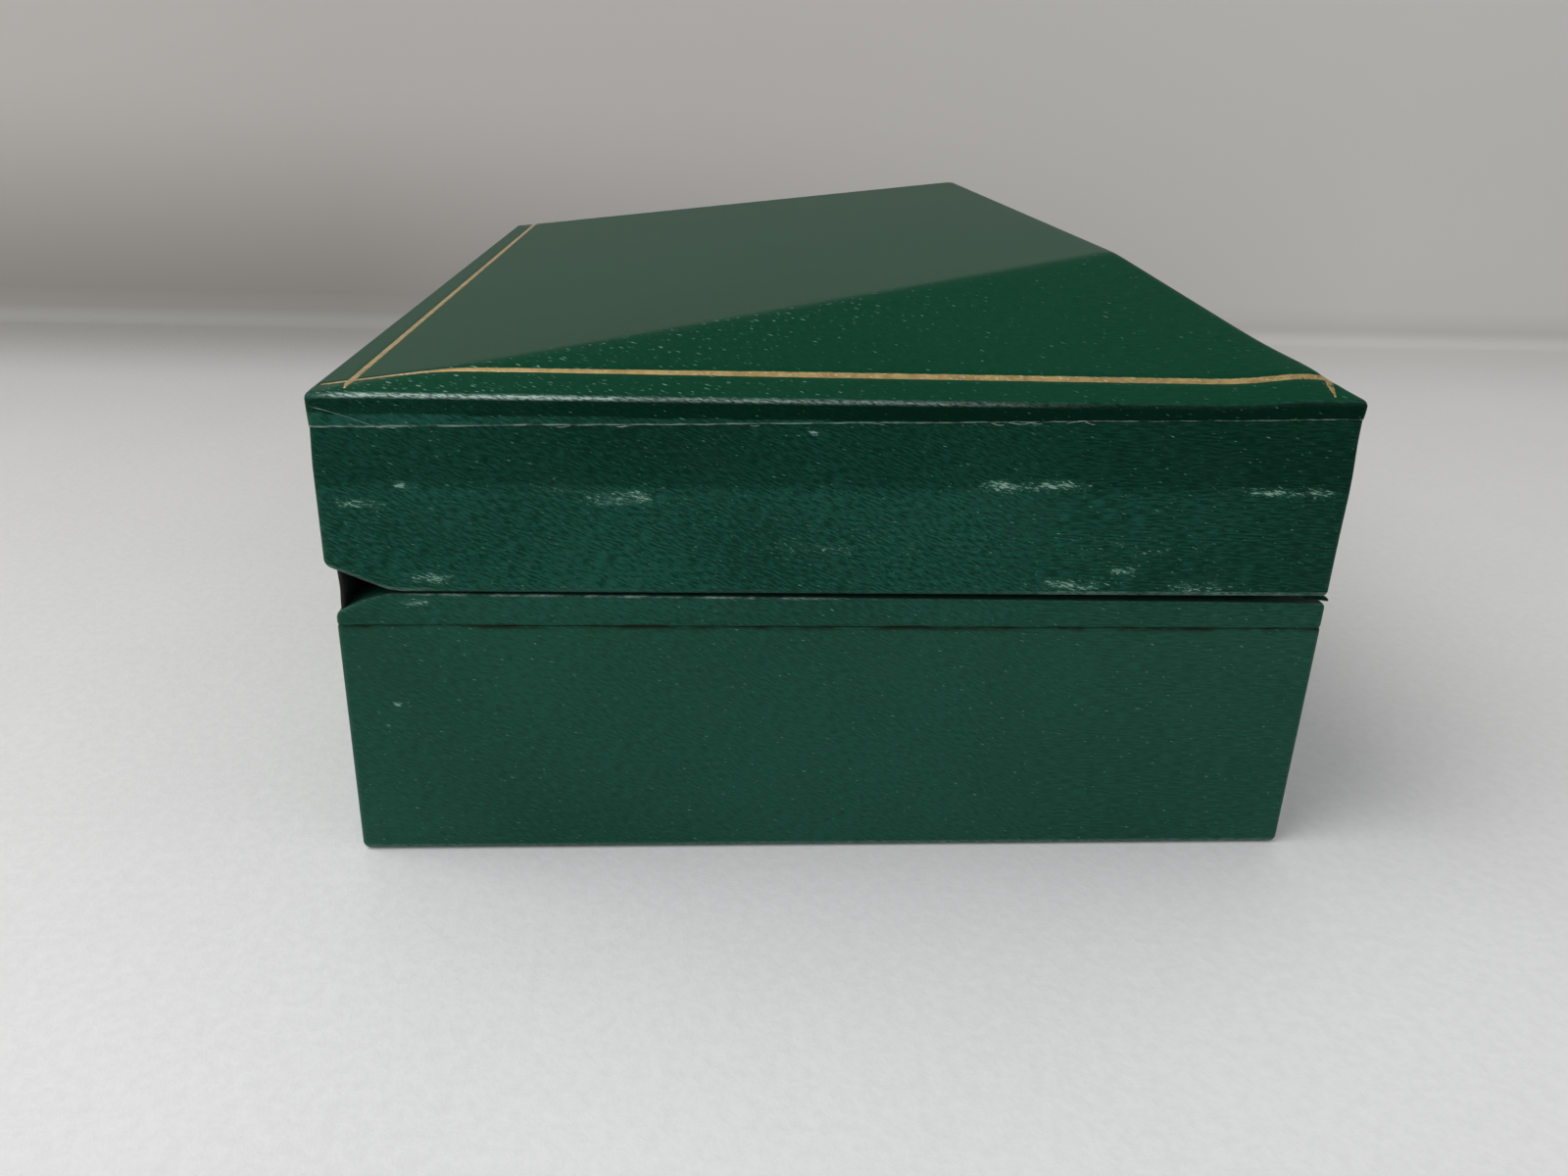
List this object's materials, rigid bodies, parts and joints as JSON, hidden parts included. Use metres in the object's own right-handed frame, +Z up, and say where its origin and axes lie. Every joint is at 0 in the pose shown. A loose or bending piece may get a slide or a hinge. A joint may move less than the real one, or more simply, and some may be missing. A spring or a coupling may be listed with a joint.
{
  "type": "watch box",
  "caption": "Leatherette-covered wooden presentation box with a hinged, off-centre hip-roofed lid, gold border lines, velvet lining and a loose cushion for a wristwatch.",
  "frame": {"origin": "centre of the box's bounding box, on the surface it rests on", "axes": "+X along the box's long side, parallel to the lid's ridge; front at -Y, hinge at +Y; +Z up"},
  "size_m": [0.1634, 0.12, 0.0729],
  "materials": {
    "board": "sanded, unvarnished softwood",
    "leatherette": "dark green cloth-grained leatherette with a satin sheen, rubbed light along its edges",
    "underside_sheet": "dark green baize",
    "hinge_cloth": "black bookbinding cloth",
    "velvet": "deep green velvet",
    "cushion_cloth": "ivory suede cloth",
    "gold_line": "pressed gold foil, slightly broken",
    "satin": "ivory satin",
    "card": null
  },
  "bodies": {
    "base": {"base_front_wall": "board", "base_right_wall": "board", "base_rear_wall": "board", "base_left_wall": "board", "base_floor_board": "board", "base_side_wrap": "leatherette", "base_rim_strip": "leatherette", "base_underside_cover": "underside_sheet", "base_front_liner": "velvet", "base_right_liner": "velvet", "base_rear_liner": "velvet", "base_left_liner": "velvet", "well_front_card": "velvet", "well_right_card": "velvet", "well_rear_card": "velvet", "well_left_card": "velvet", "hinge_cloth": "hinge_cloth", "lining_floor": "velvet", "insert_deck": "velvet"},
    "lid": {"lid_front_wall": "board", "lid_right_wall": "board", "lid_rear_wall": "board", "lid_left_wall": "board", "lid_top_board": "board", "lid_side_wrap": "leatherette", "lid_top_cover": "leatherette", "lid_front_liner": "satin", "lid_right_liner": "satin", "lid_rear_liner": "satin", "lid_left_liner": "satin", "lid_satin_pad": "satin", "lid_pad_board": "card", "gold_border": "gold_line"},
    "cushion": {"watch_cushion": "cushion_cloth"}
  },
  "joints": [
    {"name": "lid_hinge", "type": "hinge", "parent": "base", "child": "lid", "pos_m": [0, 0.05845, 0.0359], "axis": [-1, 0, 0], "range_deg": [0, 110]},
    {"name": "cushion_lift", "type": "slide", "parent": "base", "child": "cushion", "axis": [0, 0, 1], "range_m": [0, 0.01]}
  ]
}
